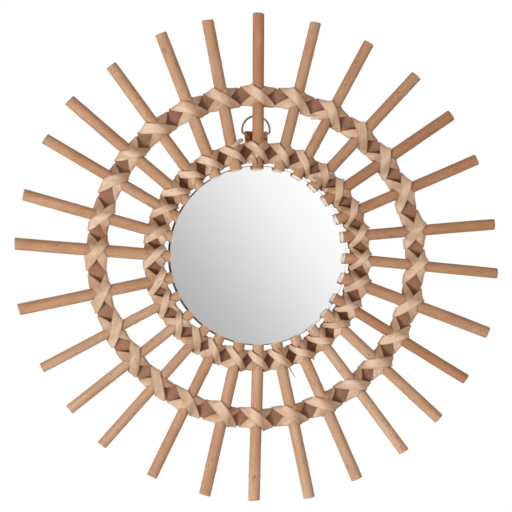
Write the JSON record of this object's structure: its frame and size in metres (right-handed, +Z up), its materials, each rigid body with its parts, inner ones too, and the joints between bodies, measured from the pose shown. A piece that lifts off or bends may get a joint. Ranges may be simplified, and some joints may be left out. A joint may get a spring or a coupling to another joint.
{
  "type": "sunburst wall mirror",
  "caption": "Round wall mirror in a sunburst of rattan rods lashed with split peel to two ring boards, hung by a D-ring at the top of the inner ring.",
  "frame": {"origin": "where a nail bears inside the top of the hanging D-ring, on the wire's inner side", "axes": "+X to the right seen from the front, +Y into the wall, +Z up; the mirror faces -Y"},
  "size_m": [0.5047, 0.0292, 0.5026],
  "materials": {
    "rattan_rod": "bare rattan rods, peach tan, satin, with specks, knots and sawn ends",
    "rattan_peel": "split rattan peel, pale cream tan, fine lengthwise grain",
    "ring_board": "dull brown stained board",
    "mirror_glass": "silvered glass with a plain cut edge",
    "backing_board": "dull brown fibreboard",
    "hanger_metal": "dark bronzed brass, worn on the bends"
  },
  "bodies": {
    "mirror_frame": {"rattan_rod_01": "rattan_rod", "rattan_rod_02": "rattan_rod", "rattan_rod_03": "rattan_rod", "rattan_rod_04": "rattan_rod", "rattan_rod_05": "rattan_rod", "rattan_rod_06": "rattan_rod", "rattan_rod_07": "rattan_rod", "rattan_rod_08": "rattan_rod", "rattan_rod_09": "rattan_rod", "rattan_rod_10": "rattan_rod", "rattan_rod_11": "rattan_rod", "rattan_rod_12": "rattan_rod", "rattan_rod_13": "rattan_rod", "rattan_rod_14": "rattan_rod", "rattan_rod_15": "rattan_rod", "rattan_rod_16": "rattan_rod", "rattan_rod_17": "rattan_rod", "rattan_rod_18": "rattan_rod", "rattan_rod_19": "rattan_rod", "rattan_rod_20": "rattan_rod", "rattan_rod_21": "rattan_rod", "rattan_rod_22": "rattan_rod", "rattan_rod_23": "rattan_rod", "rattan_rod_24": "rattan_rod", "rattan_rod_25": "rattan_rod", "rattan_rod_26": "rattan_rod", "rattan_rod_27": "rattan_rod", "rattan_rod_28": "rattan_rod", "outer_ring_under_strip": "rattan_peel", "outer_ring_over_strip": "rattan_peel", "inner_ring_under_strip": "rattan_peel", "inner_ring_over_strip": "rattan_peel", "outer_ring_board": "ring_board", "inner_ring_board": "ring_board", "mirror_glass": "mirror_glass", "backing_board": "backing_board", "hanger_strap": "hanger_metal", "left_screw": "hanger_metal", "right_screw": "hanger_metal"},
    "hanging_ring": {"hanging_ring": "hanger_metal"}
  },
  "joints": [
    {"name": "hanging_ring_hinge", "type": "hinge", "parent": "mirror_frame", "child": "hanging_ring", "pos_m": [0, 0, -0.01745], "axis": [-1, 0, 0], "range_deg": [-20, 165]}
  ]
}
